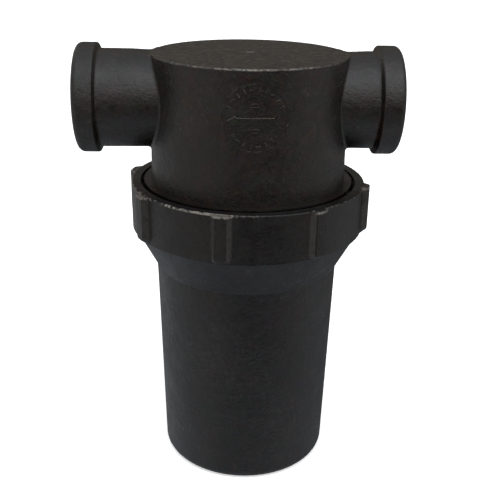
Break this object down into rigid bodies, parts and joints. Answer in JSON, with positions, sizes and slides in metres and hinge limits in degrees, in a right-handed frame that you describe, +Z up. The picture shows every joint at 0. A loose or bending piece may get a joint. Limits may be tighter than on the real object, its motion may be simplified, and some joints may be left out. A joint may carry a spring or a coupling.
{
  "type": "line strainer",
  "caption": "Moulded plastic in-line T strainer: head with two threaded ports, screw-on lugged bowl and a mesh cartridge inside.",
  "frame": {"origin": "centre of the flat under the bowl, on the bowl's axis", "axes": "+Z up the bowl's axis towards the head, +X along the pipe run towards the inlet port, so water flows from +X to -X"},
  "size_m": [0.0991, 0.0774, 0.1403],
  "materials": {
    "black_plastic": "satin, glass-filled moulding",
    "seal_rubber": "matte",
    "cage_plastic": "satin",
    "wire_mesh": "woven wire"
  },
  "bodies": {
    "head": {"head_body": "black_plastic"},
    "cartridge": {"screen_core": "cage_plastic", "screen_mesh": "wire_mesh", "screen_seam": "wire_mesh", "screen_collar": "cage_plastic", "screen_cap": "cage_plastic", "screen_washer": "seal_rubber"},
    "bowl": {"bowl": "black_plastic", "bowl_gasket": "seal_rubber"}
  },
  "joints": [
    {"name": "bowl_drop", "type": "slide", "parent": "head", "child": "cartridge", "axis": [0, 0, -1], "range_m": [0, 0.008]},
    {"name": "bowl_turn", "type": "hinge", "parent": "cartridge", "child": "bowl", "pos_m": [0, 0, 0.09], "axis": [0, 0, -1], "range_deg": [0, 720]}
  ],
  "couplings": [
    {"joint": "bowl_drop", "follows": "bowl_turn", "m_per_rad": 0.00063662}
  ]
}
